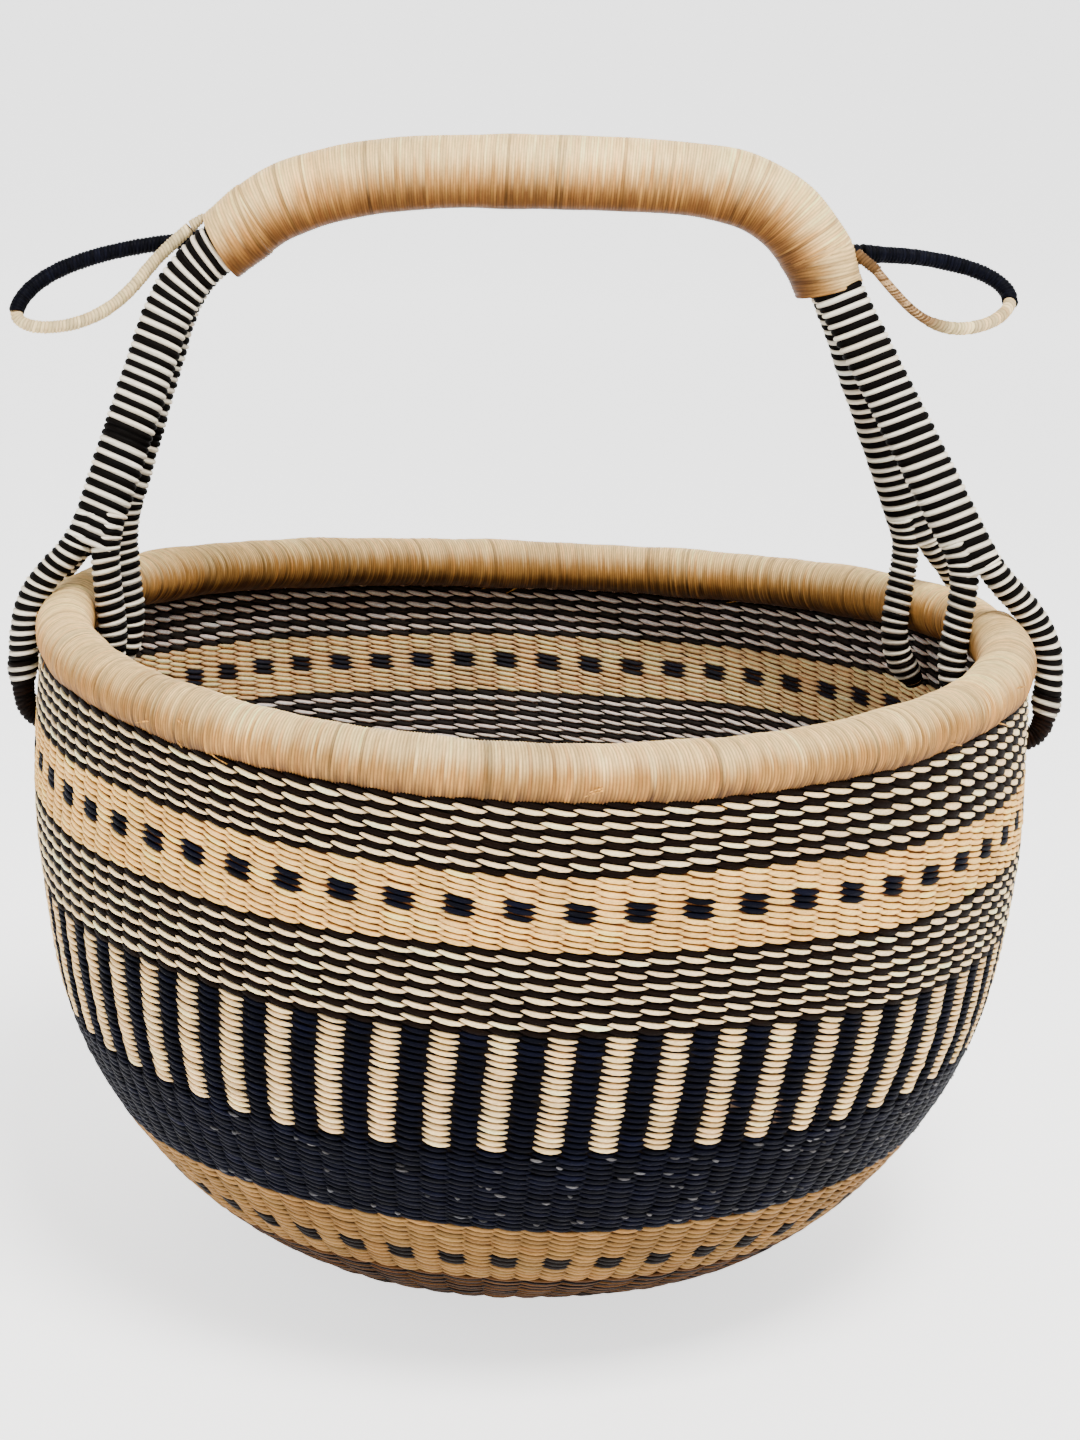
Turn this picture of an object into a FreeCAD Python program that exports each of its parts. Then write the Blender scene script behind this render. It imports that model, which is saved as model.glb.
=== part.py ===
import FreeCAD, Part
import math
import os

# Round woven market basket: a bowl of straw rows woven round upright stakes, a wrapped rim,
# and an arch handle whose four striped legs each straddle the rim with two strands.
# Millimetres, +Z up, origin at the centre of the base's underside.
# +X runs along the handle to its right end and +Y to the back.

V = FreeCAD.Vector
UP = V(0, 0, 1)
BACK = V(0, 1, 0)

# Bowl wall: a flat base and three tangent arcs, given on the outside face.
# An arc gentler than the limit is built as straight runs, one for each band.
WALL_THICKNESS = 7.0
BASE_FLAT_RADIUS = 49.0
WALL_ARCS = [(140.0, 47.0), (176.0, 35.2), (470.0, 13.7)]  # radius, turn in degrees
GENTLE_ARC_RADIUS = 300.0

# Where the woven bands meet, as lengths along the outside face from the centre of the base.
BAND_ENDS = {
    "base_start": 57.0,
    "base_twist_band": 155.0,
    "lower_natural_band": 197.0,
    "navy_band": 236.0,
    "bar_band": 288.0,
    "mid_twist_band": 321.0,
    "upper_natural_band": 350.0,
    "upper_twist_band": 380.0,
}

# Stakes: flat straw pairs up the middle of the wall. Every other one starts higher up.
STAKE_COUNT = 120
STAKE_STEP = 360.0 / STAKE_COUNT
STAKE_WIDTH = 4.4
STAKE_THICKNESS = 2.2
STAKE_CLEARANCE = 0.4
LONG_STAKE_START = 58.5
SHORT_STAKE_START = 156.5
STAKE_END = 371.0

# Rim: a straw bundle, wound with straw.
RIM_RADIUS = 190.0
RIM_HEIGHT = 252.0
RIM_TUBE_RADIUS = 11.5
RIM_CORE_RADIUS = 8.8
RIM_CORE_CLEARANCE = 0.2

# Handle: four cores, two in the front arch and two in the back arch.
ROD_RADIUS = 3.8
ROD_CLEARANCE = 0.3
STRAND_RADIUS = 5.8
ROD_HALF_GAP = 4.4  # outer and inner core from the middle of their arch
ARCH_HALF_GAP = 6.3  # front and back arch from the middle of the grip
GRIP_Y = 26.0
GRIP_WRAP_RADIUS = 15.0
GRIP_COLLAR_RADIUS = 13.8
GRIP_PADDING_RADIUS = 12.1
GRIP_PADDING_CLEARANCE = 0.2
GRIP_COLLAR_LENGTH = 18.0
GRIP_LEFT_INSET = 23.0  # the grip's left end, along the arch from its left knee
GRIP_RIGHT_INSET = 2.0  # the grip's right end, before the arch's right knee
PADDING_END_GAP = 7.0
PIECE_GAP = 0.3

# The arch from its left knee to its right knee, as X and height above the rim's centre.
ARCH_ROUTE = [
    (-151.0, 138.0),
    (-126.0, 161.0),
    (-106.0, 175.5),
    (-64.5, 186.0),
    (0.0, 188.5),
    (60.0, 188.0),
    (84.1, 182.5),
    (103.5, 168.5),
    (117.4, 144.3),
]

# Legs: each ends in a fork above the rim, at this radius and height, and at its own angle.
FORK_RADIUS = 181.0
FORK_HEIGHT = 34.0
LEG_ANGLES = {
    ("front", "left"): 183.0,
    ("front", "right"): 2.5,
    ("back", "left"): 171.0,
    ("back", "right"): 25.0,
}
KNEE_OVERLAP = 2.8  # how far the two bars of a bent leg pass its knee
LEG_END_BEFORE_FORK = 2.0
FORK_SLEEVE_RADIUS = 5.5
FORK_SLEEVE_BEFORE = 8.0
FORK_SLEEVE_AFTER = 3.7
STRAND_START_AFTER_FORK = 4.0
CHANNEL_MARGIN = 8.0

# Strands below the fork, as radius and height from the rim's centre.
STRAND_ROUTES = {
    "outer": [(203.5, 17.0), (208.8, -3.0), (208.0, -26.0)],
    "inner": [(173.5, 13.0), (171.3, -4.0), (174.5, -18.0), (184.0, -29.0)],
}
WIDE_STRAND = ("front", "right", "outer")
WIDE_STRAND_ROUTE = [(206.0, 15.0), (214.5, -5.0), (211.5, -29.0)]
BINDING_RADIUS = 6.5
BINDING_LENGTH = 13.0
BINDING_CAP = 1.2

# Cord loops: X, Y and height above the rim's centre, from the navy root round to the straw root.
LOOP_CORE_RADIUS = 1.9
LOOP_RADIUS = 3.3
LOOP_CORE_CLEARANCE = 0.1
LOOP_ROUTES = {
    "left": [
        (-139.5, 43.5, 155.5),
        (-157.0, 44.5, 153.0),
        (-175.0, 44.5, 149.5),
        (-191.0, 43.0, 145.0),
        (-206.0, 39.5, 138.5),
        (-216.0, 34.5, 130.0),
        (-219.0, 28.0, 121.0),
        (-209.5, 22.0, 117.5),
        (-193.5, 19.0, 119.5),
        (-180.0, 20.5, 125.5),
        (-170.0, 23.5, 134.5),
        (-162.3, 26.0, 144.8),
        (-154.3, 26.0, 153.2),
        (-146.6, 26.0, 160.3),
    ],
    "right": [
        (126.5, 33.0, 159.5),
        (143.0, 38.0, 159.5),
        (160.5, 42.0, 157.5),
        (177.0, 40.0, 154.0),
        (187.5, 35.0, 148.0),
        (189.0, 28.0, 141.0),
        (179.5, 21.0, 134.0),
        (164.0, 16.5, 131.5),
        (150.5, 14.5, 136.0),
        (140.0, 16.0, 145.0),
        (131.5, 20.0, 154.5),
    ],
}
ARC_SHARE = 0.45  # share of the shorter run that each corner's arc takes up


def wall_frame(length):
    """Centre, radius and angle of the wall at a length along its outside face."""
    corner_x = BASE_FLAT_RADIUS
    corner_z = 0.0
    heading = 0.0
    done = BASE_FLAT_RADIUS
    for number, (radius, turn) in enumerate(WALL_ARCS):
        centre_x = corner_x - radius * math.sin(heading)
        centre_z = corner_z + radius * math.cos(heading)
        span = radius * math.radians(turn)
        if length <= done + span or number == len(WALL_ARCS) - 1:
            return centre_x, centre_z, radius, heading + (length - done) / radius
        heading += math.radians(turn)
        corner_x = centre_x + radius * math.sin(heading)
        corner_z = centre_z - radius * math.cos(heading)
        done += span
    return None


def wall_point(length, depth):
    """Point in the XZ plane, this far along the outside face and this deep in the wall."""
    if length <= BASE_FLAT_RADIUS:
        return V(length, 0, depth)
    centre_x, centre_z, radius, angle = wall_frame(length)
    reach = radius - depth
    return V(centre_x + reach * math.sin(angle), 0, centre_z - reach * math.cos(angle))


def wall_breaks():
    """Lengths at which the wall's outline passes from one arc or band to the next."""
    breaks = [BASE_FLAT_RADIUS]
    for radius, turn in WALL_ARCS:
        breaks.append(breaks[-1] + radius * math.radians(turn))
    return sorted(breaks + list(BAND_ENDS.values()))


def is_straight(length):
    return length <= BASE_FLAT_RADIUS or wall_frame(length)[2] > GENTLE_ARC_RADIUS


def wall_edges(start, end, depth):
    """Edges along the wall at one depth, from the first length to the second."""
    stops = [start] + [stop for stop in wall_breaks() if start < stop < end] + [end]
    edges = []
    for low, high in zip(stops, stops[1:]):
        first = wall_point(low, depth)
        last = wall_point(high, depth)
        halfway = (low + high) / 2
        if is_straight(halfway):
            edges.append(Part.LineSegment(first, last).toShape())
        else:
            middle = wall_point(halfway, depth)
            edges.append(Part.Arc(first, middle, last).toShape())
    return edges


def wall_face(start, end, shallow, deep):
    """Flat face in the XZ plane between two lengths and two depths of the wall."""
    edges = wall_edges(start, end, shallow) + wall_edges(start, end, deep)
    for length in (start, end):
        near = wall_point(length, shallow)
        far = wall_point(length, deep)
        edges.append(Part.LineSegment(near, far).toShape())
    return Part.Face(Part.Wire(Part.__sortEdges__(edges)))


def wall_strip(start, end, width, thickness):
    """Strip of the wall's middle layer, centred on the XZ plane."""
    shallow = (WALL_THICKNESS - thickness) / 2
    face = wall_face(start, end, shallow, shallow + thickness)
    face.translate(V(0, -width / 2, 0))
    return face.extrude(V(0, width, 0))


def turned(shape, degrees):
    copy = shape.copy()
    copy.rotate(V(0, 0, 0), UP, degrees)
    return copy


def stake_angles(first, step):
    return [number * STAKE_STEP for number in range(first, STAKE_COUNT, step)]


def make_stakes():
    long_stake = wall_strip(LONG_STAKE_START, STAKE_END, STAKE_WIDTH, STAKE_THICKNESS)
    short_stake = wall_strip(SHORT_STAKE_START, STAKE_END, STAKE_WIDTH, STAKE_THICKNESS)
    stakes = [turned(long_stake, angle) for angle in stake_angles(0, 2)]
    stakes += [turned(short_stake, angle) for angle in stake_angles(1, 2)]
    return Part.makeCompound(stakes)


def stake_channels(start, end):
    """Room through one band for a long stake and for the short stake beside it."""
    width = STAKE_WIDTH + 2 * STAKE_CLEARANCE
    thickness = STAKE_THICKNESS + 2 * STAKE_CLEARANCE
    channels = []
    for number, stake_start in enumerate((LONG_STAKE_START, SHORT_STAKE_START)):
        low = max(start - 1.0, stake_start - STAKE_CLEARANCE)
        high = min(end + 1.0, STAKE_END + STAKE_CLEARANCE)
        if low < min(high, end):
            strip = wall_strip(low, high, width, thickness)
            channels.append(turned(strip, number * STAKE_STEP))
    return channels


def rim_ring(tube_radius):
    return Part.makeTorus(RIM_RADIUS, tube_radius, V(0, 0, RIM_HEIGHT), UP)


def make_band(start, end, is_top):
    """Ring of wall with room for its stakes, joined from equal sectors with a long stake each."""
    face = wall_face(start, end, 0.0, WALL_THICKNESS)
    channels = stake_channels(start, end)
    if not channels:
        return face.revolve(V(0, 0, 0), UP, 360)
    sector = turned(face, -STAKE_STEP / len(channels)).revolve(V(0, 0, 0), UP, 2 * STAKE_STEP)
    sector = sector.cut(channels)
    if is_top:
        sector = sector.cut(rim_ring(RIM_TUBE_RADIUS))
    sectors = [turned(sector, angle) for angle in stake_angles(0, 2)]
    return sectors[0].multiFuse(sectors[1:])


def make_bands():
    bands = {}
    start = 0.0
    top = list(BAND_ENDS)[-1]
    for name, end in BAND_ENDS.items():
        bands[name] = make_band(start, end, name == top)
        start = end
    return bands


class Route:
    """A line of straight runs joined by tangent arcs, each as large as its two runs allow."""

    def __init__(self, points):
        self.edges = []
        self.stations = [0.0]  # length along the route at each point
        self.radii = []
        here = points[0]
        length = 0.0
        for before, corner, after in zip(points, points[1:], points[2:]):
            into = (corner - before).normalize()
            out_of = (after - corner).normalize()
            half_turn = into.getAngle(out_of) / 2
            reach = ARC_SHARE * min((corner - before).Length, (after - corner).Length)
            entry = corner - into * reach
            leave = corner + out_of * reach
            radius = reach / math.tan(half_turn)
            inward = (out_of - into).normalize()
            middle = corner + inward * (radius / math.cos(half_turn) - radius)
            arc = Part.Arc(entry, middle, leave).toShape()
            self.edges.append(Part.LineSegment(here, entry).toShape())
            self.edges.append(arc)
            length += self.edges[-2].Length + arc.Length
            self.stations.append(length - arc.Length / 2)
            self.radii.append(radius)
            here = leave
        self.edges.append(Part.LineSegment(here, points[-1]).toShape())
        self.length = length + self.edges[-1].Length
        self.stations.append(self.length)

    def between(self, start, end):
        """Wire along the route from one length to another."""
        pieces = []
        done = 0.0
        for edge in self.edges:
            low = max(start - done, 0.0)
            high = min(end - done, edge.Length)
            if high - low > 1e-6:
                first = edge.getParameterByLength(low)
                last = edge.getParameterByLength(high)
                pieces.append(edge.Curve.toShape(first, last))
            done += edge.Length
        return Part.Wire(pieces)

    def tube(self, radius, start=0.0, end=None, hole=None):
        """Round tube along part of the route, solid or with a hole."""
        wire = self.between(start, self.length if end is None else end)
        first = wire.Edges[0]
        place = first.valueAt(first.FirstParameter)
        direction = first.tangentAt(first.FirstParameter)
        rings = [Part.Wire(Part.makeCircle(radius, place, direction))]
        if hole:
            rings.append(Part.Wire(Part.makeCircle(hole, place, direction)))
            face = Part.Face(rings[0]).cut(Part.Face(rings[1])).Faces[0]
        else:
            face = Part.Face(rings[0])
        return wire.makePipe(face)


def arch_side(before, after):
    """Direction out of the arch at a corner, long enough to keep offset lines parallel."""
    into = V(before.x, 0, before.z).normalize()
    out_of = V(after.x, 0, after.z).normalize()
    along = (into + out_of).normalize()
    half_turn = into.getAngle(out_of) / 2
    return along.cross(BACK).normalize() / math.cos(half_turn)


def fork_point(arch, side):
    angle = math.radians(LEG_ANGLES[(arch, side)])
    height = RIM_HEIGHT + FORK_HEIGHT
    return V(FORK_RADIUS * math.cos(angle), FORK_RADIUS * math.sin(angle), height)


def arch_points(arch):
    """Middle line of one arch, from its left fork to its right fork."""
    y = GRIP_Y + (-ARCH_HALF_GAP if arch == "front" else ARCH_HALF_GAP)
    middle = [V(x, y, RIM_HEIGHT + height) for x, height in ARCH_ROUTE]
    return [fork_point(arch, "left")] + middle + [fork_point(arch, "right")]


def strand_points(arch, side, place):
    """One strand from under its fork to its end at the wall."""
    angle = math.radians(LEG_ANGLES[(arch, side)])
    outward = V(math.cos(angle), math.sin(angle), 0)
    wide = (arch, side, place) == WIDE_STRAND
    shape = WIDE_STRAND_ROUTE if wide else STRAND_ROUTES[place]
    return [outward * reach + UP * (RIM_HEIGHT + height) for reach, height in shape]


def rod_route(arch, place):
    """Route of one core from its left end at the wall to its right end."""
    points = arch_points(arch)
    runs = [last - first for first, last in zip(points, points[1:])]
    before = [runs[0]] + runs
    after = runs + [runs[-1]]
    shift = ROD_HALF_GAP if place == "outer" else -ROD_HALF_GAP
    line = [point + arch_side(a, b) * shift for point, a, b in zip(points, before, after)]
    left = strand_points(arch, "left", place)
    return Route(left[::-1] + line + strand_points(arch, "right", place))


def grip_route():
    return Route([V(x, GRIP_Y, RIM_HEIGHT + height) for x, height in ARCH_ROUTE])


def leg_bar(top, bottom, before, after):
    """Straight bar with rounded sides that holds two cores side by side."""
    along = (bottom - top).normalize()
    out = V(along.z, 0, -along.x).normalize() * ROD_HALF_GAP
    side = along.cross(out).normalize() * STRAND_RADIUS
    bulge = out * (STRAND_RADIUS / ROD_HALF_GAP)
    start = top - along * before
    edges = [
        Part.LineSegment(start + out + side, start - out + side).toShape(),
        Part.Arc(start - out + side, start - out - bulge, start - out - side).toShape(),
        Part.LineSegment(start - out - side, start + out - side).toShape(),
        Part.Arc(start + out - side, start + out + bulge, start + out + side).toShape(),
    ]
    length = (bottom - top).Length + before + after
    return Part.Face(Part.Wire(edges)).extrude(along * length)


def fork_station(route, side, place):
    """Length along a core's route at its left or right fork."""
    strand = len(STRAND_ROUTES[place])
    return route.stations[strand if side == "left" else -1 - strand]


def span(side, station, before, after):
    """Lengths from before the fork, on the leg, to after it, on the strand."""
    if side == "left":
        return station - after, station + before
    return station - before, station + after


def make_leg_wrap(arch, side, routes, grip_end):
    points = arch_points(arch)
    fork = fork_point(arch, side)
    if side == "left":
        knee = points[1]
        reach = (fork - knee).Length + GRIP_LEFT_INSET
        upper = leg_bar(points[2], knee, 0.0, KNEE_OVERLAP)
        lower = leg_bar(knee, fork, KNEE_OVERLAP, -LEG_END_BEFORE_FORK)
        parts = [upper, lower]
    else:
        knee = points[-2]
        reach = (fork - knee).Length
        parts = [leg_bar(knee, fork, GRIP_RIGHT_INSET, -LEG_END_BEFORE_FORK)]
    channels = []
    for place in ("outer", "inner"):
        route = routes[(arch, place)]
        station = fork_station(route, side, place)
        low, high = span(side, station, FORK_SLEEVE_BEFORE, FORK_SLEEVE_AFTER)
        parts.append(route.tube(FORK_SLEEVE_RADIUS, low, high))
        low, high = span(side, station, reach + CHANNEL_MARGIN, FORK_SLEEVE_AFTER + PIECE_GAP)
        channels.append(route.tube(ROD_RADIUS + ROD_CLEARANCE, low, high))
    wrap = parts[0].fuse(parts[1:])
    wrap = wrap.cut([grip_end] + channels)
    return wrap.removeSplitter()


def make_strand_wrap(route, side, place):
    station = fork_station(route, side, place)
    hole = ROD_RADIUS + ROD_CLEARANCE
    start = BINDING_LENGTH + PIECE_GAP
    if side == "left":
        return route.tube(STRAND_RADIUS, start, station - STRAND_START_AFTER_FORK, hole)
    low = station + STRAND_START_AFTER_FORK
    return route.tube(STRAND_RADIUS, low, route.length - start, hole)


def make_binding(route, side):
    """Bound end of a strand: a sleeve with a closed cap over the core's end."""
    hole = ROD_RADIUS + ROD_CLEARANCE
    if side == "left":
        sleeve = route.tube(BINDING_RADIUS, 0.0, BINDING_LENGTH, hole)
        edge = route.edges[0]
        end = edge.valueAt(edge.FirstParameter)
        outward = -edge.tangentAt(edge.FirstParameter)
    else:
        sleeve = route.tube(BINDING_RADIUS, route.length - BINDING_LENGTH, None, hole)
        edge = route.edges[-1]
        end = edge.valueAt(edge.LastParameter)
        outward = edge.tangentAt(edge.LastParameter)
    cap = Part.makeCylinder(BINDING_RADIUS, BINDING_CAP, end, outward)
    return sleeve.fuse(cap).removeSplitter()


def make_handle():
    routes = {}
    pieces = {}
    for arch in ("front", "back"):
        for place in ("outer", "inner"):
            route = rod_route(arch, place)
            routes[(arch, place)] = route
            pieces[f"{arch}_{place}_rod"] = route.tube(ROD_RADIUS)

    grip = grip_route()
    hole = GRIP_PADDING_RADIUS + GRIP_PADDING_CLEARANCE
    start = GRIP_LEFT_INSET
    end = grip.length - GRIP_RIGHT_INSET
    collar = GRIP_COLLAR_LENGTH
    ends = {"left": (start, start + collar), "right": (end - collar, end)}
    for side, (low, high) in ends.items():
        pieces[f"{side}_grip_collar"] = grip.tube(GRIP_COLLAR_RADIUS, low, high, hole)
    low = start + collar + PIECE_GAP
    high = end - collar - PIECE_GAP
    pieces["grip_wrap"] = grip.tube(GRIP_WRAP_RADIUS, low, high, hole)
    low = start + PADDING_END_GAP
    high = end - PADDING_END_GAP
    padding = grip.tube(GRIP_PADDING_RADIUS, low, high)
    channel = ROD_RADIUS + ROD_CLEARANCE
    pieces["grip_padding"] = padding.cut([route.tube(channel) for route in routes.values()])

    # The legs' wraps stop just short of the grip's ends.
    grip_ends = {
        "left": grip.tube(GRIP_WRAP_RADIUS, start - PIECE_GAP, start + 2 * collar),
        "right": grip.tube(GRIP_WRAP_RADIUS, end - collar, end + PIECE_GAP),
    }
    for arch, side in LEG_ANGLES:
        wrap = make_leg_wrap(arch, side, routes, grip_ends[side])
        pieces[f"{arch}_{side}_leg_wrap"] = wrap
        for place in ("outer", "inner"):
            route = routes[(arch, place)]
            name = f"{arch}_{side}_{place}"
            pieces[f"{name}_strand_wrap"] = make_strand_wrap(route, side, place)
            pieces[f"{name}_binding"] = make_binding(route, side)
    return pieces


def make_loops():
    pieces = {}
    for side, points in LOOP_ROUTES.items():
        route = Route([V(x, y, RIM_HEIGHT + height) for x, y, height in points])
        middle = route.length / 2
        hole = LOOP_CORE_RADIUS + LOOP_CORE_CLEARANCE
        core = route.tube(LOOP_CORE_RADIUS)
        pieces[f"{side}_loop_core"] = core
        pieces[f"{side}_loop_navy_wrap"] = route.tube(LOOP_RADIUS, 0.0, middle, hole)
        pieces[f"{side}_loop_natural_wrap"] = route.tube(LOOP_RADIUS, middle, None, hole)
        exact = math.pi * LOOP_CORE_RADIUS ** 2 * route.length
        radii = ", ".join(f"{radius:.0f}" for radius in route.radii)
        print(f"{side} loop: length {route.length:.1f}, volume ratio {core.Volume / exact:.4f}")
        print(f"{side} loop arc radii: {radii}")
    return pieces


def main():
    pieces = make_bands()
    pieces["stakes"] = make_stakes()
    pieces["rim_core"] = rim_ring(RIM_CORE_RADIUS)
    rim_hole = rim_ring(RIM_CORE_RADIUS + RIM_CORE_CLEARANCE)
    pieces["rim_wrap"] = rim_ring(RIM_TUBE_RADIUS).cut(rim_hole)
    pieces.update(make_handle())
    pieces.update(make_loops())
    os.makedirs("parts", exist_ok=True)
    for name, shape in pieces.items():
        shape.exportStep(f"parts/{name}.step")
        print(f"{name}: {len(shape.Solids)} solids, {shape.Volume:.0f} mm3, valid {shape.isValid()}")


main()
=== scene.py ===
import math

import bpy
import numpy as np
from mathutils import Matrix, Vector


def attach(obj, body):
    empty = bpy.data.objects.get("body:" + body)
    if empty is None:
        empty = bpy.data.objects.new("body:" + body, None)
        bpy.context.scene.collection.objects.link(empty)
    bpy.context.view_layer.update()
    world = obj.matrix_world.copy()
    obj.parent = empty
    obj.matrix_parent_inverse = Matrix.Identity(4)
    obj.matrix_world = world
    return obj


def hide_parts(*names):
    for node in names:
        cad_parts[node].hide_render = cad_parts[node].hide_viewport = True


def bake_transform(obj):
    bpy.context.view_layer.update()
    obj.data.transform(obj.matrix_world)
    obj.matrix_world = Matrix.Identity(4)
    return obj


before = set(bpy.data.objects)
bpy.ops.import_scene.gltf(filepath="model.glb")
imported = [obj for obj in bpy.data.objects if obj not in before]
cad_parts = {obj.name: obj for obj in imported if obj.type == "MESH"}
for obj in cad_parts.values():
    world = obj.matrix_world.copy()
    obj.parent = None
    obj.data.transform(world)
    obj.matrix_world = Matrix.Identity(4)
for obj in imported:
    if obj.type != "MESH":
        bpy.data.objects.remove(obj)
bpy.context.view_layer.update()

# Woven market basket, in metres, in the CAD frame: +Z up, +X along the handle to its right
# end, +Y to the back. Lengths along the wall are measured on its outside face from the
# centre of the base, and a rise is how far a point stands out of that face.

random = np.random.default_rng(11)
MM = 0.001

# ---------------------------------------------------------------- camera and light

RIM_HEIGHT = 0.252
VIEW_ELEVATION = math.radians(12.5)
VIEW_ROLL = math.radians(2.2)
VIEW_DISTANCE = 1.123
LENS_MM = 68.6
SENSOR_MM = 36.0
SHIFT = (0.003, -0.055)


def link(name, data):
    made = bpy.data.objects.new(name, data)
    bpy.context.scene.collection.objects.link(made)
    return made


def make_camera():
    data = bpy.data.cameras.new("camera")
    data.lens = LENS_MM
    data.sensor_width = SENSOR_MM
    data.shift_x, data.shift_y = SHIFT
    camera = link("camera", data)
    target = Vector((0.0, 0.0, RIM_HEIGHT))
    back = Vector((0.0, -math.cos(VIEW_ELEVATION), math.sin(VIEW_ELEVATION)))
    turn = (-back).to_track_quat("-Z", "Y").to_matrix() @ Matrix.Rotation(VIEW_ROLL, 3, "Z")
    camera.matrix_world = Matrix.Translation(target + back * VIEW_DISTANCE) @ turn.to_4x4()
    bpy.context.scene.camera = camera


def make_light(name, place, size, power, colour):
    data = bpy.data.lights.new(name, "AREA")
    data.size = size
    data.energy = power
    data.color = colour
    lamp = link(name, data)
    aim = Vector((0.0, 0.0, 0.2)) - Vector(place)
    lamp.rotation_euler = aim.to_track_quat("-Z", "Y").to_euler()
    lamp.location = place


def make_studio():
    world = bpy.data.worlds.new("studio")
    world.use_nodes = True
    sky = world.node_tree.nodes["Background"]
    sky.inputs["Color"].default_value = (1.0, 1.0, 1.0, 1.0)
    sky.inputs["Strength"].default_value = 0.55
    bpy.context.scene.world = world
    make_light("key", (0.45, -1.0, 2.25), 0.8, 98.0, (1.0, 0.985, 0.96))
    make_light("fill", (-1.5, -1.4, 1.1), 1.4, 14.0, (1.0, 1.0, 1.0))
    make_floor()


def make_floor():
    """Pale floor that curves up into a pale backdrop far behind."""
    half_width, front, bend_start, bend_radius, top = 25.0, -25.0, 4.0, 2.0, 8.0
    profile = [(front, 0.0), (bend_start, 0.0)]
    for step in range(1, 13):
        angle = math.radians(90.0 * step / 12)
        rise = bend_radius * (1 - math.cos(angle))
        profile.append((bend_start + bend_radius * math.sin(angle), rise))
    profile.append((bend_start + bend_radius, top))
    points = [(x, y, z) for y, z in profile for x in (-half_width, half_width)]
    faces = [(2 * n, 2 * n + 1, 2 * n + 3, 2 * n + 2) for n in range(len(profile) - 1)]
    mesh = bpy.data.meshes.new("floor")
    mesh.from_pydata(points, [], faces)
    mesh.polygons.foreach_set("use_smooth", [True] * len(faces))
    floor = link("floor", mesh)
    paper = bpy.data.materials.new("paper")
    paper.use_nodes = True
    shader = paper.node_tree.nodes["Principled BSDF"]
    shader.inputs["Base Color"].default_value = (0.9, 0.9, 0.9, 1.0)
    shader.inputs["Roughness"].default_value = 0.9
    shader.inputs["Emission Color"].default_value = (1.0, 1.0, 1.0, 1.0)
    shader.inputs["Emission Strength"].default_value = 1.6
    mesh.materials.append(paper)


make_camera()
make_studio()

# ---------------------------------------------------------------- colours and materials


def srgb(red, green, blue):
    """Linear colour from its usual 0 to 255 values."""
    value = np.array([red, green, blue]) / 255.0
    return np.where(value < 0.04045, value / 12.92, ((value + 0.055) / 1.055) ** 2.4)


TONES = {
    "natural": srgb(240, 192, 116),
    "tan": srgb(146, 110, 64),
    "brown": srgb(84, 54, 25),
    "cream": srgb(246, 216, 168),
    "bar": srgb(236, 202, 148),
    "dark": srgb(13, 5, 2),
    "navy": srgb(3, 4, 16),
    "fleck": srgb(104, 104, 108),
    # Painted shade: tones of the ring behind the stitches, standing in for the shaded inside of the
    # weave.
    "shaded_gap_tan": srgb(104, 64, 32),
    "shaded_gap_dark": srgb(9, 5, 3),
    # The wound straw's tones run from pale on top to dark brown underneath: partly the straw's own tone,
    # partly painted shade.
    "wound_top": srgb(237, 201, 137),
    "wound_side": srgb(181, 132, 68),
    "wound_under_tone_and_shade": srgb(82, 53, 28),
    "grip_under_tone_and_shade": srgb(118, 78, 40),
    "loop_navy": srgb(6, 7, 16),
    "loop_natural": srgb(214, 192, 146),
    "loop_brown": srgb(98, 72, 44),
    "stripe_cream": srgb(240, 231, 212),
    "stripe_dark": srgb(6, 4, 3),
}
WARM = np.array([1.10, 0.96, 0.86])
COOL = np.array([0.96, 1.02, 0.90])
ANY_PHASE = (0.0, 6.28)
BUMP_DEPTH = 0.5 * MM
# How fine the straw's patterns are, in changes per metre.
PATCHES, WARM_PATCHES, SPECKS, CORE_GRAIN = 24.0, 55.0, 900.0, 420.0


def ease(value, low, high):
    """Smooth step from 0 at low to 1 at high."""
    share = np.clip((value - low) / (high - low), 0.0, 1.0)
    return share * share * (3 - 2 * share)


def even_angles(count):
    """Angles of this many even steps round a full turn."""
    return np.arange(count) * 2 * math.pi / count


def varied(tones, spread, hue):
    """Copies of these colours, each a little lighter or darker and warmer or greener."""
    count = len(tones)
    value = np.exp(random.normal(0.0, spread, (count, 1)))
    lean = random.normal(0.0, hue, (count, 1))
    tinge = np.where(lean > 0, 1 + lean * (WARM - 1) * 4, 1 - lean * (COOL - 1) * 4)
    return tones * value * tinge


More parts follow.
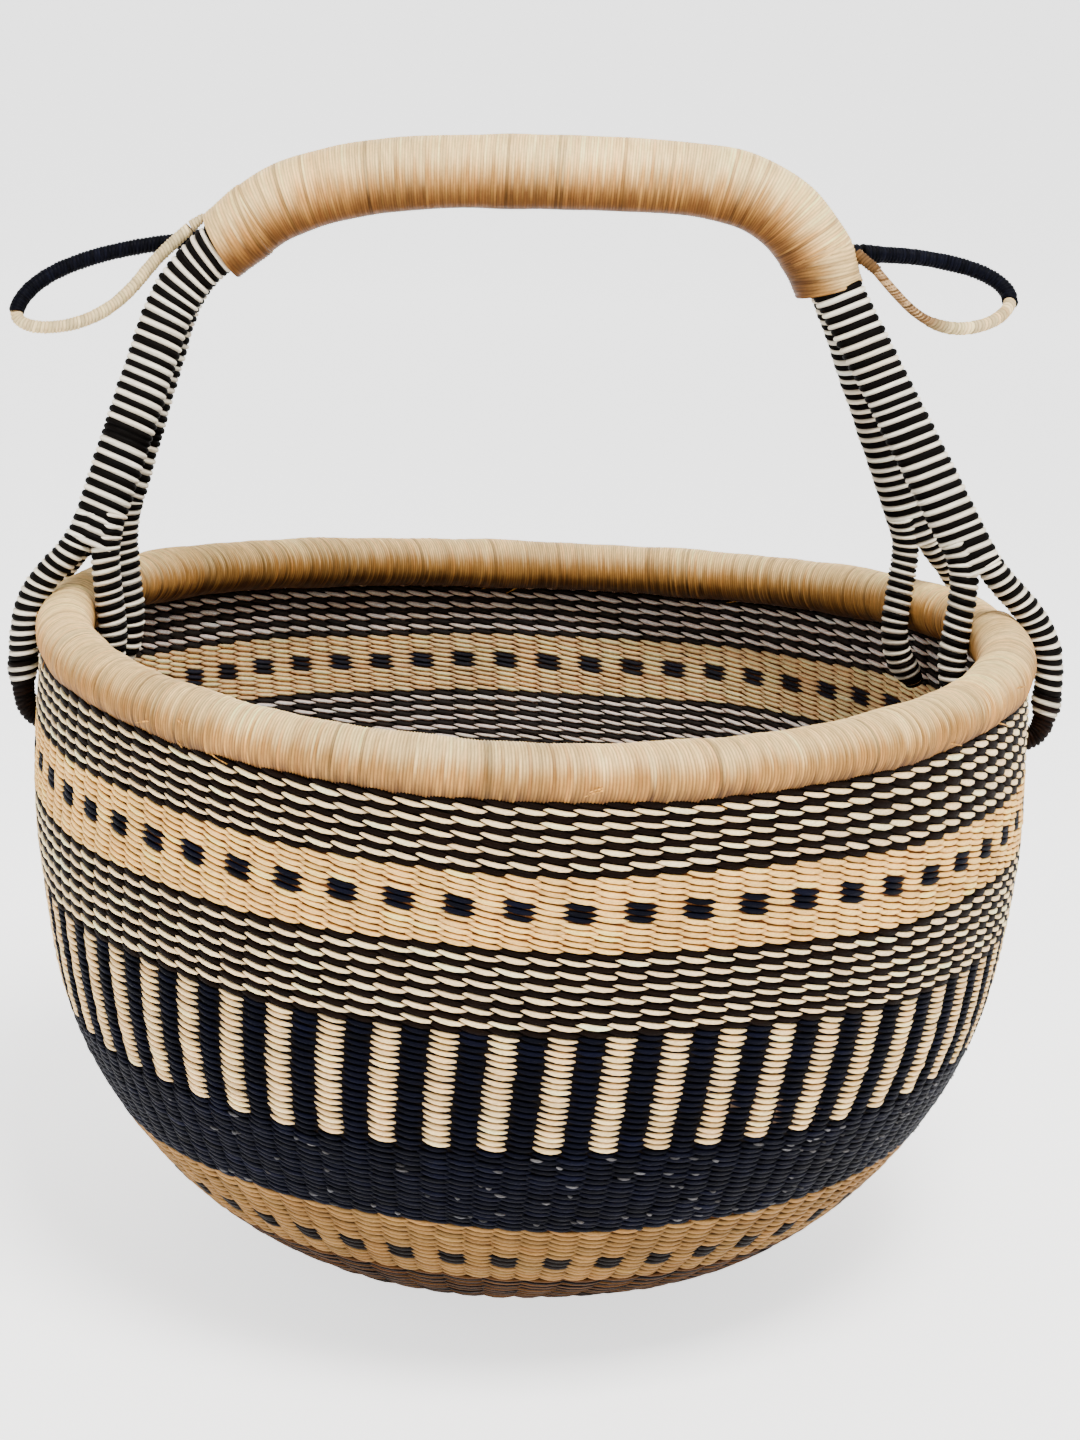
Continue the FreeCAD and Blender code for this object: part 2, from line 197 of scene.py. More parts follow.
def straw_material(name, streak, blotch, bump, roughness, shine):
    """Straw whose colour comes from the mesh, with fine fibres along each strand."""
    material = bpy.data.materials.new(name)
    material.use_nodes = True
    nodes = material.node_tree.nodes
    links = material.node_tree.links
    shader = nodes["Principled BSDF"]
    shader.inputs["Specular IOR Level"].default_value = shine

    def add(kind, **settings):
        node = nodes.new(kind)
        for key, value in settings.items():
            setattr(node, key, value)
        return node

    def remap(source, low, high):
        node = add("ShaderNodeMapRange")
        node.inputs["From Min"].default_value = 0.3
        node.inputs["From Max"].default_value = 0.7
        node.inputs["To Min"].default_value = low
        node.inputs["To Max"].default_value = high
        links.new(source, node.inputs["Value"])
        return node.outputs["Result"]

    def noise(vector, scale, detail):
        node = add("ShaderNodeTexNoise")
        node.inputs["Scale"].default_value = scale
        node.inputs["Detail"].default_value = detail
        links.new(vector, node.inputs["Vector"])
        return node.outputs["Fac"]

    def times(colour, factor):
        node = add("ShaderNodeVectorMath", operation="SCALE")
        links.new(colour, node.inputs["Vector"])
        links.new(factor, node.inputs["Scale"])
        return node.outputs["Vector"]

    tint = add("ShaderNodeAttribute", attribute_name="tint").outputs["Color"]
    fibre = add("ShaderNodeAttribute", attribute_name="fibre").outputs["Vector"]
    place = add("ShaderNodeTexCoord").outputs["Object"]
    fine = noise(fibre, 1.0, 3.0)
    patches = noise(place, PATCHES, 2.0)
    specks = noise(place, SPECKS, 1.0)
    streaked = times(tint, remap(fine, 1 - streak, 1 + streak))
    colour = times(streaked, remap(patches, 1 - blotch, 1 + blotch))
    warm = add("ShaderNodeMix", data_type="RGBA", blend_type="MULTIPLY")
    warm.inputs[7].default_value = (1.04, 0.93, 0.80, 1.0)
    links.new(remap(noise(place, WARM_PATCHES, 1.0), 0.0, 0.55), warm.inputs[0])
    links.new(times(colour, remap(specks, 0.94, 1.04)), warm.inputs[6])
    links.new(warm.outputs[2], shader.inputs["Base Color"])
    links.new(remap(fine, roughness + 0.12, roughness - 0.10), shader.inputs["Roughness"])
    height = add("ShaderNodeBump")
    height.inputs["Strength"].default_value = bump
    height.inputs["Distance"].default_value = BUMP_DEPTH
    links.new(fine, height.inputs["Height"])
    links.new(height.outputs["Normal"], shader.inputs["Normal"])
    return material


def core_material(name, dark, light):
    """Rough bundled straw, for what lies inside the windings and the weave."""
    material = bpy.data.materials.new(name)
    material.use_nodes = True
    nodes = material.node_tree.nodes
    links = material.node_tree.links
    shader = nodes["Principled BSDF"]
    shader.inputs["Roughness"].default_value = 0.8
    place = nodes.new("ShaderNodeTexCoord").outputs["Object"]
    grain = nodes.new("ShaderNodeTexNoise")
    grain.inputs["Scale"].default_value = CORE_GRAIN
    links.new(place, grain.inputs["Vector"])
    ramp = nodes.new("ShaderNodeValToRGB")
    ramp.color_ramp.elements[0].position = 0.3
    ramp.color_ramp.elements[0].color = (*dark, 1.0)
    ramp.color_ramp.elements[1].position = 0.7
    ramp.color_ramp.elements[1].color = (*light, 1.0)
    links.new(grain.outputs["Fac"], ramp.inputs["Fac"])
    links.new(ramp.outputs["Color"], shader.inputs["Base Color"])
    height = nodes.new("ShaderNodeBump")
    height.inputs["Strength"].default_value = 0.6
    height.inputs["Distance"].default_value = BUMP_DEPTH
    links.new(grain.outputs["Fac"], height.inputs["Height"])
    links.new(height.outputs["Normal"], shader.inputs["Normal"])
    return material


MATERIALS = {
    "natural_straw": straw_material("natural_straw", 0.20, 0.10, 0.45, 0.60, 0.05),
    "twist_straw": straw_material("twist_straw", 0.22, 0.07, 0.45, 0.62, 0.04),
    "bar_straw": straw_material("bar_straw", 0.20, 0.08, 0.45, 0.62, 0.04),
    "navy_straw": straw_material("navy_straw", 0.60, 0.15, 0.60, 0.55, 0.04),
    "dark_straw": straw_material("dark_straw", 0.50, 0.10, 0.55, 0.60, 0.04),
    "striped_straw": straw_material("striped_straw", 0.24, 0.08, 0.50, 0.62, 0.04),
    "wound_straw": straw_material("wound_straw", 0.20, 0.14, 0.40, 0.52, 0.15),
    "core_straw": core_material("core_straw", srgb(118, 84, 50), srgb(196, 158, 108)),
    # The stakes are coloured dark brown as painted shade, so that they read as shadow where they show
    # between stitches.
    "stake_straw_painted_shade": core_material("stake_straw_painted_shade", srgb(46, 29, 15), srgb(88, 60, 34)),
}

# ---------------------------------------------------------------- meshes


def signed_volume(points, loops):
    """Volume inside one tube's quads, negative where they face inwards."""
    a, b, c, d = (points[loops[:, n]] for n in range(4))
    return np.einsum("ij,ij->i", a, np.cross(b, c) + np.cross(c, d)).sum()


class Shape:
    """Closed tubes gathered into one mesh, with a colour per face and fibre coordinates."""

    def __init__(self):
        self.points = []
        self.fibres = []
        self.loops = []
        self.sizes = []
        self.tints = []
        self.count = 0

    def add_faces(self, loops, tints, shade):
        self.loops.append((loops + self.count).ravel())
        self.sizes.append(np.full(len(loops), loops.shape[1]))
        self.tints.append((tints * shade[loops][..., None]).reshape(-1, 3))

    def add_tubes(self, points, fibres, tints, closed=False, shade=1.0):
        """points and fibres are (tubes, rings, points round, 3); tints is (tubes, ring gaps,
        points round, 3); shade darkens the colour at each point."""
        tubes, rings, around, _ = points.shape
        shade = np.broadcast_to(shade, points.shape[:3]).ravel()
        index = np.arange(tubes * rings * around).reshape(tubes, rings, around)
        following = np.roll(index, -1, axis=2)
        last = rings if closed else rings - 1
        ahead = np.roll(index, -1, axis=1)[:, :last]
        ahead_following = np.roll(following, -1, axis=1)[:, :last]
        quads = np.stack([index[:, :last], following[:, :last], ahead_following, ahead], -1)
        flat = points.reshape(-1, 3)
        flip = signed_volume(flat, quads[0].reshape(-1, 4)) < 0
        quads = quads.reshape(-1, 4)
        tints = np.broadcast_to(tints, (tubes, last, around, 3))
        next_tints = np.roll(tints, -1, axis=2)
        colours = np.stack([tints, next_tints, next_tints, tints], -2).reshape(-1, 4, 3)
        turn = -1 if flip else 1
        self.add_faces(quads[:, ::turn], colours[:, ::turn], shade)
        if not closed:
            for cap, backwards, gap in ((index[:, 0], True, 0), (index[:, -1], False, -1)):
                face = cap[:, ::-1] if backwards != flip else cap
                self.add_faces(face, tints[:, gap, :1], shade)
        self.points.append(flat)
        self.fibres.append(fibres.reshape(-1, 3))
        self.count += len(flat)

    def build(self, name, slot, body, *nodes):
        """Object that rides on its body, if it has one, and stands for these CAD nodes."""
        points = np.concatenate(self.points).astype(np.float32)
        loops = np.concatenate(self.loops).astype(np.int32)
        sizes = np.concatenate(self.sizes)
        tints = np.concatenate(self.tints)
        starts = (np.cumsum(sizes) - sizes).astype(np.int32)
        mesh = bpy.data.meshes.new(name)
        mesh.vertices.add(len(points))
        mesh.vertices.foreach_set("co", points.ravel())
        mesh.loops.add(len(loops))
        mesh.loops.foreach_set("vertex_index", loops)
        mesh.polygons.add(len(starts))
        mesh.polygons.foreach_set("loop_start", starts)
        mesh.update(calc_edges=True)
        mesh.polygons.foreach_set("use_smooth", [True] * len(starts))
        colours = np.ones((len(tints), 4), np.float32)
        colours[:, :3] = np.clip(tints, 0.0, 0.95)
        tint = mesh.color_attributes.new("tint", "FLOAT_COLOR", "CORNER")
        tint.data.foreach_set("color", colours.ravel())
        fibre = mesh.attributes.new("fibre", "FLOAT_VECTOR", "POINT")
        fibre.data.foreach_set("vector", np.concatenate(self.fibres).astype(np.float32).ravel())
        mesh.materials.append(MATERIALS[slot])
        piece = link(name, mesh)
        if body:
            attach(piece, body)
        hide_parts(*nodes)
        return piece


# ---------------------------------------------------------------- cord loops

LOOP_CORE_RADIUS = 1.9 * MM
LOOP_ROUTES = {
    "left": [
        (-0.1395, 0.0435, 0.1555),
        (-0.1570, 0.0445, 0.1530),
        (-0.1750, 0.0445, 0.1495),
        (-0.1910, 0.0430, 0.1450),
        (-0.2060, 0.0395, 0.1385),
        (-0.2160, 0.0345, 0.1300),
        (-0.2190, 0.0280, 0.1210),
        (-0.2095, 0.0220, 0.1175),
        (-0.1935, 0.0190, 0.1195),
        (-0.1800, 0.0205, 0.1255),
        (-0.1700, 0.0235, 0.1345),
        (-0.1623, 0.0260, 0.1448),
        (-0.1543, 0.0260, 0.1532),
        (-0.1466, 0.0260, 0.1603),
    ],
    "right": [
        (0.1265, 0.0330, 0.1595),
        (0.1430, 0.0380, 0.1595),
        (0.1605, 0.0420, 0.1575),
        (0.1770, 0.0400, 0.1540),
        (0.1875, 0.0350, 0.1480),
        (0.1890, 0.0280, 0.1410),
        (0.1795, 0.0210, 0.1340),
        (0.1640, 0.0165, 0.1315),
        (0.1505, 0.0145, 0.1360),
        (0.1400, 0.0160, 0.1450),
        (0.1315, 0.0200, 0.1545),
    ],
}


def smooth_curve(name, points):
    """Curve object with one smooth open line led by these points."""
    curve = bpy.data.curves.new(name, "CURVE")
    curve.dimensions = "3D"
    curve.resolution_u = 12
    spline = curve.splines.new("NURBS")
    spline.points.add(len(points) - 1)
    for point, place in zip(spline.points, points):
        point.co = (*place, 1.0)
    spline.order_u = 3
    spline.use_endpoint_u = True
    return link(name, curve)


def read_line(curve_object):
    """Points along a curve object with no bevel."""
    mesh = bpy.data.meshes.new_from_object(curve_object)
    line = np.array([vertex.co for vertex in mesh.vertices], float)
    bpy.data.meshes.remove(mesh)
    return line


def smooth_line(points):
    curve_object = smooth_curve("guide", points)
    line = read_line(curve_object)
    bpy.data.objects.remove(curve_object)
    return line


class Line:
    """A line in space with an outward and a sideways direction at every length along it."""

    def __init__(self, points, reference, closed=False):
        points = np.asarray(points, float)
        self.closed = closed
        if closed:
            points = np.vstack([points, points[:1]])
        steps = np.linalg.norm(np.diff(points, axis=0), axis=1)
        self.stations = np.concatenate([[0.0], np.cumsum(steps)])
        self.length = self.stations[-1]
        along = np.gradient(points, self.stations, axis=0)
        if closed:
            along[0] = along[-1] = (along[0] + along[-1]) / 2
        along /= np.linalg.norm(along, axis=1, keepdims=True)
        side = np.asarray(reference, float) - along * (along @ np.asarray(reference, float))[:, None]
        self.points = points
        self.side = side / np.linalg.norm(side, axis=1, keepdims=True)
        self.out = np.cross(along, self.side)

    def at(self, length):
        """Place, outward and sideways direction at these lengths."""
        length = length % self.length if self.closed else length
        found = []
        for table in (self.points, self.out, self.side):
            values = [np.interp(length, self.stations, table[:, axis]) for axis in range(3)]
            found.append(np.stack(values, -1))
        return found


FINE_PROFILE = [(0.0, 0.0), (0.5, 1.0)]
COIL_PROFILE = [(0.0, 0.0), (0.2, 0.8), (0.4, 1.0), (0.6, 1.0), (0.8, 0.8)]


def wound_tube(shape, line, start, end, section, strand, relief, around, tilt, colour,
               profile=COIL_PROFILE, scale=None, squareness=2.0, wobble=0.0, share=None,
               groove_shade=0.40):
    """Winding of strands round a line, from start to end along it. section is its half width and half
    depth, strand a strand's width, relief its height, around the points round it, and tilt how far along
    each turn leans. colour gives tints from the strands' numbers and angles, profile is one strand's
    outline, scale the size along the line, squareness 2 for a round section, wobble how uneven it is,
    share the strands' widths and groove_shade how much painted shade darkens the grooves between them."""
    count = max(2, round((end - start) / strand))
    widths = random.uniform(0.85, 1.15, count) * (1.0 if share is None else share(np.arange(count)))
    edges = start + np.concatenate([[0.0], np.cumsum(widths)]) / widths.sum() * (end - start)
    steps = np.array([step for step, _ in profile])
    heights = np.array([height for _, height in profile])
    lengths = (edges[:-1, None] + np.diff(edges)[:, None] * steps).ravel()
    lift = (random.uniform(0.7, 1.2, (count, 1)) * heights).ravel() * relief
    if not line.closed:
        lengths = np.append(lengths, end)
        lift = np.append(lift, 0.0)
    angles = even_angles(around)
    lean = tilt * np.cos(angles - random.uniform(-0.3, 0.3))
    along = lengths[:, None] + lean[None, :]
    if not line.closed:
        along = np.clip(along, 0.0, line.length)
    place, out, side = line.at(along)
    size = np.ones_like(lengths) if scale is None else scale((lengths - start) / (end - start))
    drift = sum(
        math.exp(-0.4 * n) * np.sin(lengths * (70.0 * n) + random.uniform(*ANY_PHASE))
        for n in range(1, 5)
    )
    cosine, sine = np.cos(angles), np.sin(angles)
    power = 2.0 / squareness
    round_out = np.sign(cosine) * np.abs(cosine) ** power
    round_side = np.sign(sine) * np.abs(sine) ** power
    half_width = (section[0] * size - relief + wobble * drift)[:, None] + lift[:, None]
    half_depth = (section[1] * size - relief + wobble * drift)[:, None] + lift[:, None]
    points = place + out * (half_width * round_out)[..., None]
    points = points + side * (half_depth * round_side)[..., None]
    grain = np.stack(np.broadcast_arrays(
        along / (0.6 * MM), half_width * cosine / (9 * MM), half_depth * sine / (9 * MM)), -1)
    tints = np.repeat(colour(np.arange(count), angles), len(profile), axis=0)
    # Painted shade: the colour darkens into the grooves between strands and is slightly lighter on their
    # crests.
    shade = 1.04 - groove_shade + groove_shade * np.resize(heights, len(lengths))
    shape.add_tubes(points[None], grain[None], tints[None], line.closed, shade[None, :, None])


def plain_tone(name, spread=0.10, hue=0.03):
    def colour(strands, angles):
        tones = varied(np.tile(TONES[name], (len(strands), 1)), spread, hue)
        return np.repeat(tones[:, None], len(angles), axis=1)
    return colour


NAVY_LOOP_RADIUS = 3.4 * MM
NAVY_ROOT_RADIUS = 4.3 * MM
NATURAL_LOOP_RADIUS = 2.7 * MM
LOOP_STRAND = 1.5 * MM
LOOP_NORMAL = (0.0, 0.75, 0.66)


# The loops' roots run between loop and handle: the end at the loop, the end under the collar, the radius
# at each in mm, and the tone.
LOOP_ROOTS = {
    "right_loop_navy": ((0.1257, 0.0328, 0.4115), (0.1180, 0.0305, 0.4100), 4.3, 4.6, "loop_navy"),
    "right_loop_straw": ((0.1324, 0.0195, 0.4060), (0.1235, 0.0250, 0.4125), 2.3, 2.5, "loop_brown"),
    "left_loop_straw": ((-0.1462, 0.0260, 0.4127), (-0.1408, 0.0258, 0.4172), 2.7, 1.6, "loop_natural"),
}


def navy_swell(share):
    """The navy half is thicker at its root."""
    return 1 + (NAVY_ROOT_RADIUS / NAVY_LOOP_RADIUS - 1) * np.clip(1 - share * 6, 0, 1)


def worn_end(share):
    """The right loop's straw half has lost its outer winding near its root."""
    return 1 - 0.27 * ease(share, 0.45, 0.65)


def worn_tone(strands, angles):
    """Straw that turns brown where the outer winding has gone."""
    worn = ease(strands / strands[-1], 0.40, 0.62)[:, None]
    tones = TONES["loop_natural"] * (1 - worn) + TONES["loop_brown"] * worn
    return np.repeat(varied(tones, 0.16, 0.08)[:, None], len(angles), axis=1)


def make_roots():
    """Short windings that join each loop to the handle."""
    for name, (start, end, thick, far, tone) in LOOP_ROOTS.items():
        start, end = np.array(start), np.array(end)
        line = Line([start, (start + end) / 2, end], LOOP_NORMAL)
        root = Shape()
        wound_tube(root, line, 0.0, line.length, (thick * MM,) * 2, 1.3 * MM, 0.4 * MM, 16, 0.6 * MM,
                   plain_tone(tone, 0.15, 0.03), scale=lambda share: 1 + (far / thick - 1) * share)
        slot = "navy_straw" if tone == "loop_navy" else "natural_straw"
        piece = root.build(f"{name}_root", slot, None)
        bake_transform(piece)


def make_loops():
    for side, heights in LOOP_ROUTES.items():
        route = [(x, y, RIM_HEIGHT + height) for x, y, height in heights]
        core = smooth_curve(f"{side}_loop_core_cord", route)
        line = Line(read_line(core), LOOP_NORMAL)
        core.data.bevel_depth = LOOP_CORE_RADIUS
        core.data.bevel_resolution = 3
        core.data.use_fill_caps = True
        core.data.materials.append(MATERIALS["core_straw"])
        body = f"{side}_loop"
        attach(core, body)
        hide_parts(f"{side}_loop_core")
        middle = line.length / 2
        navy = Shape()
        wound_tube(navy, line, 0.0, middle, (NAVY_LOOP_RADIUS,) * 2, LOOP_STRAND, 0.45 * MM, 16,
                   0.7 * MM, plain_tone("loop_navy", 0.25, 0.02), scale=navy_swell)
        natural = Shape()
        tone, thin = plain_tone("loop_natural", 0.12, 0.05), None
        if side == "right":
            tone, thin = worn_tone, worn_end
        wound_tube(natural, line, middle, line.length, (NATURAL_LOOP_RADIUS,) * 2, LOOP_STRAND,
                   0.45 * MM, 14, 1.2 * MM, tone, scale=thin)
        wraps = [
            navy.build(f"{side}_loop_navy_winding", "navy_straw", body, f"{side}_loop_navy_wrap"),
            natural.build(f"{side}_loop_straw_winding", "natural_straw", body,
                          f"{side}_loop_natural_wrap"),
        ]


make_loops()
make_roots()

# ---------------------------------------------------------------- wall

WALL_THICKNESS = 7.0 * MM
BASE_FLAT_RADIUS = 49.0 * MM
WALL_ARCS = [(0.140, 47.0), (0.176, 35.2), (0.470, 13.7)]  # radius, turn in degrees
RIM_SADDLE = 5.0 * MM  # the rim rises this much at the handle and sinks it between
SADDLE_START = 0.230
WALL_END = 0.380
STAKE_COUNT = 120
STAKE_STEP = 2 * math.pi / STAKE_COUNT
OUTER_TURN = math.radians(2.33)
INNER_TURN = math.radians(4.2)
WEAVE_LEAN = math.radians(21.0)  # per metre: the stakes lean a little as they rise
WEAVE_LEAN_FROM = 0.336

# How much higher the upper rows lie than they should: angle round the bowl, millimetres.
ROW_RISE = [
    (-180.0, 1.5),
    (-165.0, 2.0),
    (-120.0, 1.5),
    (-75.0, 0.8),
    (-58.0, -1.5),
    (-45.0, -5.5),
    (-25.0, -6.0),
    (10.0, -3.0),
    (60.0, -1.5),
    (90.0, -3.0),
    (150.0, -3.0),
    (180.0, 1.5),
]


def wall_section(length, rise):
    """Radius and height of the wall: a flat base, then one arc after another."""
    radius = length * 1.0
    height = 0.0 - rise
    corner_x = done = BASE_FLAT_RADIUS
    corner_z = heading = 0.0
    for arc, turn in WALL_ARCS:
        centre_x = corner_x - arc * math.sin(heading)
        centre_z = corner_z + arc * math.cos(heading)
        angle = heading + (length - done) / arc
        past = length > done
        radius = np.where(past, centre_x + (arc + rise) * np.sin(angle), radius)
        height = np.where(past, centre_z - (arc + rise) * np.cos(angle), height)
        heading += math.radians(turn)
        corner_x = centre_x + arc * math.sin(heading)
        corner_z = centre_z - arc * math.cos(heading)
        done += arc * math.radians(turn)
    return radius, height


# Waves that make the wall uneven: turns round the bowl, waves up it, phase.
UNEVEN = [(random.integers(2, 9), random.uniform(8, 40), random.uniform(*ANY_PHASE)) for _ in range(9)]


def row_rise(length, angle):
    """How far handmade rows stray up the wall here."""
    degrees = (np.degrees(angle) + 180.0) % 360.0 - 180.0
    table = np.array(ROW_RISE)
    amount = np.interp(degrees, table[:, 0], table[:, 1]) * MM
    waves = 0.5 * MM * np.sin(5 * angle + 90 * length) + 0.4 * MM * np.sin(11 * angle + 2.0)
    upper = ease(length, 0.240, 0.315) * (1 - ease(length, 0.345, 0.376))
    middle = ease(length, 0.140, 0.200) * (1 - ease(length, 0.350, 0.376))
    return amount * upper + waves * middle


def on_wall(length, angle, rise):
    """Points on the wall, with the bowl's handmade unevenness and the rim's saddle."""
    length, angle, rise = np.broadcast_arrays(length, angle, rise)
    length = length + row_rise(length, angle)
    radius, height = wall_section(length, rise)
    bumps = sum(np.sin(turns * angle + waves * length * 2 + start) for turns, waves, start in UNEVEN)
    radius = radius + 0.22 * MM * bumps * ease(length, 0.07, 0.13) * (1 - ease(length, 0.345, 0.372))
    height = height + RIM_SADDLE * np.cos(2 * angle) * ease(length, SADDLE_START, WALL_END)
    return np.stack([radius * np.cos(angle), radius * np.sin(angle), height], -1)


def weave_angle(angle, length, inside):
    """Where the weave puts this stake at this length up the wall."""
    turn = INNER_TURN if inside else OUTER_TURN
    return angle + turn + WEAVE_LEAN * (length - WEAVE_LEAN_FROM)


# A stitch is a closed lozenge. Its rings run along it, from -1 to 1, and its ring's points
# are (across, out of the wall).
OUTER_STATIONS = np.array([-1.0, -0.66, -0.24, 0.24, 0.66, 1.0])
OUTER_RING = np.array([(-1.0, -0.1), (-0.55, 0.8), (0.55, 0.8), (1.0, -0.1), (0.0, -0.9)])
INNER_STATIONS = np.array([-1.0, -0.4, 0.4, 1.0])
INNER_RING = np.array([(-1.0, 0.0), (0.0, 1.0), (1.0, 0.0), (0.0, -0.9)])
STITCH_THICKNESS = 0.95 * MM
TWIST_LENGTH = 2.2 * MM  # the fibres turn once round the straw in 2 pi of these


class Weave:
    """Shape of a band's stitches."""

    def __init__(self, fullness, span, dive, point, drop):
        self.fullness = fullness  # half a stitch's height, in row pitches
        self.span = span  # its length, in stake pitches
        self.dive = dive  # how far its ends sink into the wall
        self.point = point  # how much its ends narrow
        self.drop = drop  # how many rows it sinks from left to right


TWIST = Weave(0.53, 1.30, 1.00 * MM, 0.80, 0.95)
PLAIN = Weave(0.50, 1.20, 0.75 * MM, 0.55, 0.85)
BARS = Weave(0.46, 1.02, 0.95 * MM, 0.60, 0.55)
RIBBED = Weave(0.50, 1.14, 0.90 * MM, 0.50, 0.60)
SOLID = Weave(0.54, 1.16, 0.60 * MM, 0.50, 0.60)
FLECK = Weave(0.16, None, 0.20 * MM, 0.80, 0.25)  # each fleck has its own span


def add_stitches(shape, inside, weave, length, angle, half_span, pitch, widths, tints, lift=0.0):
    """Stitches over the stakes at these places, sinking from their left end to their right
    end, seen from their own side of the wall."""
    stations = INNER_STATIONS if inside else OUTER_STATIONS
    ring = INNER_RING if inside else OUTER_RING
    sign = -1.0 if inside else 1.0
    count = len(length)
    t = stations[None, :, None]
    across = ring[None, None, :, 0]
    up = ring[None, None, :, 1]
    taper = 1 - weave.point * np.abs(t) ** 2.0
    half_width = weave.fullness * pitch * widths * random.uniform(0.9, 1.1, count)
    drop = weave.drop * pitch * random.uniform(0.85, 1.15, count)[:, None, None]
    shift = drop * (t / 2 + 0.16 * (1 - t * t))
    along = length[:, None, None] - shift + across * half_width[:, None, None] * taper
    turn = angle[:, None, None] + sign * t * half_span[:, None, None]
    crest = lift + random.normal(0.0, 0.10 * MM, count)[:, None, None]
    thick = STITCH_THICKNESS * (1 - 0.6 * weave.point * np.abs(t) ** 2.0)
    rise = crest - STITCH_THICKNESS - weave.dive * np.abs(t) ** 2.2 + up * thick
    face = -WALL_THICKNESS if inside else 0.0
    points = on_wall(along, turn, face + sign * rise)
    reach = half_span[:, None, None] * wall_section(length, 0.0)[0][:, None, None] * t
    roll = reach / TWIST_LENGTH + random.uniform(*ANY_PHASE, count)[:, None, None]
    ring_angle = np.arctan2(up, across) + roll
    number = random.uniform(0, 400, count)[:, None, None]
    fibres = np.stack(np.broadcast_arrays(
        reach / (7 * MM) + number, 2.6 * np.cos(ring_angle), 2.6 * np.sin(ring_angle)), -1)
    # Painted shade: each stitch is darker at its edges, darkest on its hidden underside and darker
    # towards its diving ends, with its crest slightly lighter.
    shade = np.where(up > 0.5, 1.05, np.where(up > -0.5, 0.66, 0.4)) * (1 - 0.22 * t ** 4)
    shape.add_tubes(points, fibres, tints[:, None, None, :], shade=shade)


LINING_DEPTH = 1.55 * MM
LINING_STEP = 6.0 * MM


def add_lining(shape, start, end, tone, around=240):
    """Closed ring behind the stitches, so that no light shows through the wall, coloured as painted shade
    for the inside of the weave.
    """
    depth = LINING_DEPTH
    steps = max(2, round((end - start) / LINING_STEP) + 1)
    lengths = np.linspace(start, end, steps)
    section = [(length, -depth) for length in lengths]
    section += [(length, depth - WALL_THICKNESS) for length in lengths[::-1]]
    angles = even_angles(around)
    section = np.array(section)
    points = on_wall(section[None, :, 0], angles[:, None], section[None, :, 1])
    fibres = np.stack(np.broadcast_arrays(
        section[None, :, 0] / MM, 30 * np.cos(angles)[:, None], 30 * np.sin(angles)[:, None]), -1)
    tints = varied(np.tile(TONES[tone], (around, 1)), 0.1, 0.02)[None, :, None, :]
    shape.add_tubes(points[None], fibres[None], tints, closed=True)


# What the straw over each stake of each row is made of.


def twist_pattern(row, stake):
    return "cream" if row % 2 else "dark"


def start_pattern(row, stake):
    return "brown" if row % 3 == 0 else "tan"


def base_twist_pattern(row, stake):
    return "brown" if row % 2 else "dark"


DOT_ROWS = (5, 6, 7)
DASH_ROWS = (4, 5, 6)


def dotted_pattern(row, stake):
    return "navy" if row in DOT_ROWS and stake % 2 else "natural"


def dashed_pattern(row, stake):
    return "dark" if row in DASH_ROWS and stake % 2 else "tan"


def bar_pattern(row, stake):
    return "bar" if stake % 2 and row else "navy"


def navy_pattern(row, stake):
    return "navy"


class Band:
    """A band of rows, from start to end up the wall. pattern gives a stitch's tone, and gap is the tone
    of the ring behind the stitches, painted shade for the inside of the weave."""

    def __init__(self, slot, start, end, rows, pattern, gap, weave, stakes=STAKE_COUNT, flecks=0):
        self.slot = slot
        self.start = start
        self.end = end
        self.rows = rows
        self.pattern = pattern
        self.gap = gap
        self.weave = weave
        self.stakes = stakes
        self.flecks = flecks


BANDS = {
    "base_twist_band": Band("twist_straw", 0.057, 0.155, 38, base_twist_pattern, "shaded_gap_dark", TWIST, 60),
    "lower_natural_band": Band("natural_straw", 0.155, 0.197, 14, dashed_pattern, "shaded_gap_tan", RIBBED, 100),
    "navy_band": Band("navy_straw", 0.197, 0.236, 16, navy_pattern, "shaded_gap_dark", SOLID, flecks=150),
    "bar_band": Band("bar_straw", 0.236, 0.288, 20, bar_pattern, "shaded_gap_dark", BARS),
    "mid_twist_band": Band("twist_straw", 0.288, 0.321, 13, twist_pattern, "shaded_gap_dark", TWIST),
    "upper_natural_band": Band("natural_straw", 0.321, 0.350, 12, dotted_pattern, "shaded_gap_tan", PLAIN),
    "upper_twist_band": Band("twist_straw", 0.350, 0.377, 11, twist_pattern, "shaded_gap_dark", TWIST),
}
NAVY_SPAN = 0.98  # navy straw beside straw of another colour is a little shorter
WIDTHS = {"dark": 1.14, "cream": 0.88}
CREAM_LIFT = 0.18 * MM
TONE_SPREAD = 0.11
NAVY_SPREAD = 0.30
# Painted light: the straw inside the bowl is made lighter, with its hue shifted a little, and its darkest
# tones are lifted, standing in for the light that falls inside.
INSIDE_PAINTED_LIGHT_GAIN = np.array([1.50, 1.50, 2.3])
INSIDE_PAINTED_LIGHT_LIFT = 0.020
# Painted shade: the rows near the bottom are made darker.
LOW_ROWS_PAINTED_SHADE = ((0.190, 0.200), (0.70, 1.0))  # the rows near the bottom are browner
FLECK_ANGLES = (-150.0, 0.0)  # across the front, more of them towards the right
FLECK_LIFT = 0.35 * MM


